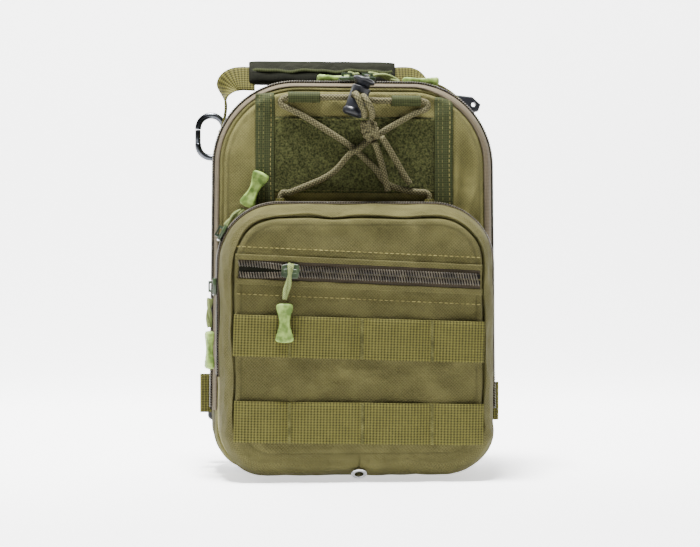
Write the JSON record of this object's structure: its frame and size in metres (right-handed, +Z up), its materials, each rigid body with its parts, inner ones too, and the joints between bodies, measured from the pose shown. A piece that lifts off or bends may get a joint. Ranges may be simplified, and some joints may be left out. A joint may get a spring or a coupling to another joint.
{
  "type": "sling bag",
  "caption": "Small upright sling bag with a zipped front pocket, webbing rows, a loop panel laced over with cord and a cord lock, a carry handle and cord zipper pulls.",
  "frame": {"origin": "middle of the flat base of the rear shell, on the surface that the bag stands on", "axes": "+X to the viewer's right with the pocket facing the viewer, +Y away from the viewer towards the back pad, +Z up"},
  "size_m": [0.1996, 0.1272, 0.2657],
  "materials": {
    "pack_cloth": "matt woven oxford cloth",
    "padding": "matt padded cloth and mesh",
    "webbing": "ribbed nylon webbing",
    "tape": "flat woven tape",
    "loop_pile": "fuzzy loop pile",
    "zipper": "woven tape with a nylon coil",
    "cord": "braided nylon cord",
    "pull_cord": "braided nylon cord",
    "pull_grip": "moulded matt rubber",
    "slider_enamel": "semi-gloss enamel",
    "black_plastic": "glossy moulded plastic",
    "gunmetal": "dark plated",
    "eyelet_metal": "bright plated"
  },
  "bodies": {
    "bag": {"rear_shell": "pack_cloth", "back_pad": "padding", "main_zip_rear": "zipper", "handle_anchor_left": "webbing", "handle_anchor_right": "webbing", "ring_tab": "webbing", "lower_tab_left": "webbing", "lower_tab_right": "webbing", "buckle_female": "black_plastic"},
    "front": {"front_panel": "pack_cloth", "main_zip_front": "zipper", "loop_panel": "loop_pile", "side_tape_left": "tape", "side_tape_right": "tape", "cord_sleeve_left": "webbing", "cord_sleeve_right": "webbing", "cord_loop_left": "webbing", "cord_loop_right": "webbing", "lacing_right": "cord", "lacing_left": "cord", "cord_knot": "cord", "tail_near": "cord", "tail_far": "cord", "pocket_base": "pack_cloth", "pocket_zip_rear": "zipper", "pocket_lower": "pack_cloth", "drain_grommet": "eyelet_metal", "molle_lower": "webbing"},
    "flap": {"pocket_flap": "pack_cloth", "pocket_zip_front": "zipper", "molle_upper": "webbing", "face_zip_upper": "zipper", "face_zip_lower": "zipper"},
    "main_slider_left": {"main_slider_left": "slider_enamel"},
    "main_pull_left": {"main_left_cord": "pull_cord", "main_left_grip": "pull_grip"},
    "main_slider_right": {"main_slider_right": "slider_enamel"},
    "main_pull_right": {"main_right_cord": "pull_cord", "main_right_grip": "pull_grip"},
    "face_slider": {"face_slider": "slider_enamel"},
    "face_pull": {"face_pull_cord": "pull_cord", "face_pull_grip": "pull_grip"},
    "pocket_slider_upper": {"pocket_slider_upper": "slider_enamel"},
    "pocket_pull_upper": {"pocket_upper_cord": "pull_cord", "pocket_upper_grip": "pull_grip"},
    "pocket_slider_side": {"pocket_slider_side": "slider_enamel"},
    "pocket_pull_side": {"pocket_side_cord": "pull_cord", "pocket_side_grip": "pull_grip"},
    "cord_lock": {"lock_barrel": "black_plastic"},
    "lock_button": {"lock_button": "black_plastic"},
    "handle": {"handle_grip": "padding", "handle_end_left": "webbing", "handle_end_right": "webbing"},
    "snap_ring": {"ring_body": "gunmetal"},
    "ring_gate": {"ring_gate": "gunmetal"},
    "strap": {"strap_pad": "padding", "strap_webbing": "webbing", "buckle_male": "black_plastic", "strap_hook": "black_plastic", "strap_top": "webbing"}
  },
  "joints": [
    {"name": "main_open", "type": "hinge", "parent": "bag", "child": "front", "pos_m": [0, -0.018, 0.0006], "axis": [1, 0, 0], "range_deg": [0, 40]},
    {"name": "pocket_open", "type": "hinge", "parent": "front", "child": "flap", "pos_m": [0, -0.0703, 0.06], "axis": [1, 0, 0], "range_deg": [0, 75]},
    {"name": "main_zip_left_slide", "type": "slide", "parent": "front", "child": "main_slider_left", "axis": [1, 0, 0], "range_m": [-0.045, 0]},
    {"name": "main_pull_left_lift", "type": "hinge", "parent": "main_slider_left", "child": "main_pull_left", "pos_m": [0.0032, -0.01, 0.2505], "axis": [0, 1, 0], "range_deg": [0, 80]},
    {"name": "main_zip_right_slide", "type": "slide", "parent": "front", "child": "main_slider_right", "axis": [1, 0, 0], "range_m": [0, 0.042]},
    {"name": "main_pull_right_lift", "type": "hinge", "parent": "main_slider_right", "child": "main_pull_right", "pos_m": [0.0104, -0.0144, 0.2532], "axis": [0, -1, 0], "range_deg": [0, 80]},
    {"name": "face_zip_slide", "type": "slide", "parent": "flap", "child": "face_slider", "axis": [0.999, 0, -0.045], "range_m": [-0.026, 0.109]},
    {"name": "face_pull_lift", "type": "hinge", "parent": "face_slider", "child": "face_pull", "pos_m": [-0.043, -0.0764, 0.1227], "axis": [-1, 0, 0], "range_deg": [0, 100]},
    {"name": "pocket_zip_upper_travel", "type": "hinge", "parent": "flap", "child": "pocket_slider_upper", "pos_m": [-0.048, -0.041, 0.132], "axis": [0, 1, 0], "range_deg": [-28, 0]},
    {"name": "pocket_pull_upper_lift", "type": "hinge", "parent": "pocket_slider_upper", "child": "pocket_pull_upper", "pos_m": [-0.0806, -0.0343, 0.1556], "axis": [0, -1, 0], "range_deg": [0, 70]},
    {"name": "pocket_zip_side_slide", "type": "slide", "parent": "flap", "child": "pocket_slider_side", "axis": [0, 0, 1], "range_m": [-0.05, 0.003]},
    {"name": "pocket_pull_side_lift", "type": "hinge", "parent": "pocket_slider_side", "child": "pocket_pull_side", "pos_m": [-0.0904, -0.0414, 0.1123], "axis": [0, 1, 0], "range_deg": [0, 80]},
    {"name": "cord_lock_slide", "type": "slide", "parent": "front", "child": "cord_lock", "axis": [0, -1, 0], "range_m": [0, 0.0016]},
    {"name": "cord_lock_press", "type": "slide", "parent": "cord_lock", "child": "lock_button", "axis": [-0.3429, 0, -0.9394], "range_m": [0, 0.0026], "stiffness_N_per_m": 400, "springref_m": -0.0015},
    {"name": "handle_tilt", "type": "hinge", "parent": "bag", "child": "handle", "pos_m": [0, 0.014, 0.252], "axis": [1, 0, 0], "range_deg": [-20, 20]},
    {"name": "ring_swing", "type": "hinge", "parent": "bag", "child": "snap_ring", "pos_m": [-0.0822, 0.0356, 0.217], "axis": [0, 0, 1], "range_deg": [-70, 15]},
    {"name": "ring_gate_open", "type": "hinge", "parent": "snap_ring", "child": "ring_gate", "pos_m": [-0.0996, 0.0356, 0.2211], "axis": [0, -1, 0], "range_deg": [0, 25], "stiffness_Nm_per_rad": 0.01, "springref_deg": -17.19},
    {"name": "strap_swing", "type": "hinge", "parent": "bag", "child": "strap", "pos_m": [0, 0.036, 0.2455], "axis": [1, 0, 0], "range_deg": [0, 80]}
  ]
}
